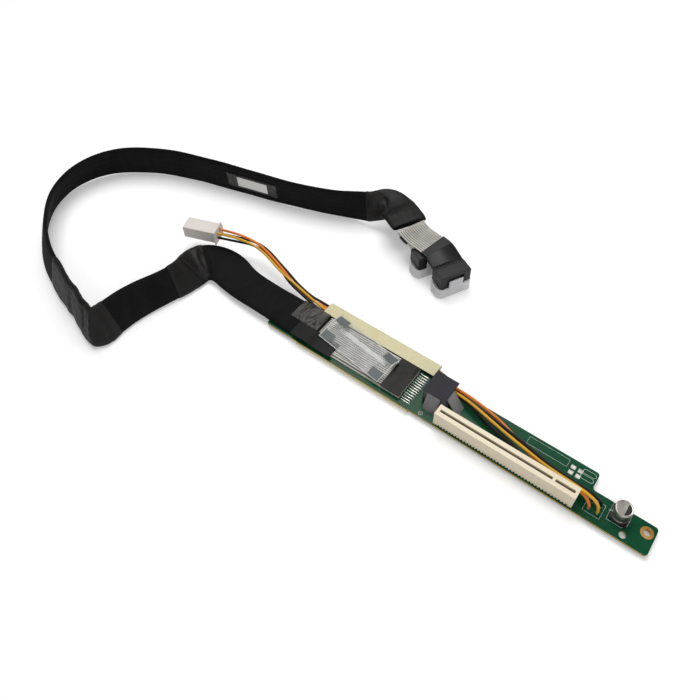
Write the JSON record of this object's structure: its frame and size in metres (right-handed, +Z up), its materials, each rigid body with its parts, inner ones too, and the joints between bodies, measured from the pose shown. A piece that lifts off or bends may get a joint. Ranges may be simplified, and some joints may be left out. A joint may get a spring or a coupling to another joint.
{
  "type": "pcie riser card",
  "caption": "Narrow circuit board with a long card slot, capacitor and power wires, and a folded flat cable tail ending in capped data plugs.",
  "frame": {"origin": "centre of the plated screw hole, at the top face of the board", "axes": "+X along the board towards its screw hole end, +Y from the slot's side of the board to its other long edge, +Z up out of the top face"},
  "size_m": [0.4791, 0.2226, 0.0277],
  "materials": {
    "board": "green solder mask over glass fibre, cut edge pale tan",
    "plating": "gold over copper plating",
    "slot_plastic": "cream glass filled plastic, satin",
    "contact_metal": "gold flashed spring contacts",
    "black_plastic": "black moulded plastic",
    "can_aluminium": "brushed can",
    "tinned_metal": "bright tin solder",
    "ribbon_film": "silver grey ribbon of fine wires",
    "black_tape": "black cloth tape",
    "clear_film": "clear flexible film",
    "grey_pad": "grey adhesive pad",
    "paper": "matt white paper",
    "yellow_tape": "yellow insulating tape",
    "grey_foam": "dark grey foam",
    "grey_tape": "grey tape",
    "cable_sleeve": "black woven sleeve over flat ribbons",
    "clear_plastic": "translucent moulded cap",
    "white_nylon": "natural white nylon",
    "orange_insulation": "orange wire insulation",
    "yellow_insulation": "yellow wire insulation",
    "black_insulation": "black wire insulation"
  },
  "bodies": {
    "root": {"riser_board": "board", "screw_hole_plating": "plating", "slot_housing": "slot_plastic", "slot_contacts_front": "contact_metal", "slot_contacts_back": "contact_metal", "capacitor_base": "black_plastic", "capacitor_can": "can_aluminium", "capacitor_leads": "tinned_metal", "spare_pads": "tinned_metal", "power_wire_joints": "tinned_metal", "board_ribbon_lower": "ribbon_film", "board_ribbon_upper": "ribbon_film", "ribbon_tails": "tinned_metal", "black_tape": "black_tape", "clear_film": "clear_film", "film_pads": "grey_pad", "paper_strip": "paper", "yellow_tape": "yellow_tape", "underside_ribbon": "ribbon_film", "jacket_band": "black_tape", "clear_tape_patch": "clear_film", "foam_block": "grey_foam", "block_cover": "black_tape", "block_front_tape": "grey_tape", "block_side_tape": "grey_tape", "flat_cable": "cable_sleeve", "neck_tape": "black_tape", "corner_tape": "black_tape", "end_fold_tape": "black_tape", "label_laminate": "clear_film", "cable_label": "paper", "ribbon_a": "ribbon_film", "ribbon_b": "ribbon_film", "ribbon_collar_a": "black_tape", "ribbon_collar_b": "black_tape", "plug_head_a": "black_plastic", "plug_head_b": "black_plastic", "plug_blades_a": "contact_metal", "plug_blades_b": "contact_metal", "dust_cap_a": "clear_plastic", "dust_cap_b": "clear_plastic", "power_plug_housing": "white_nylon", "power_plug_terminals": "tinned_metal", "orange_wire": "orange_insulation", "yellow_wire": "yellow_insulation", "black_outer_wire": "black_insulation", "black_inner_wire": "black_insulation"}
  },
  "joints": []
}
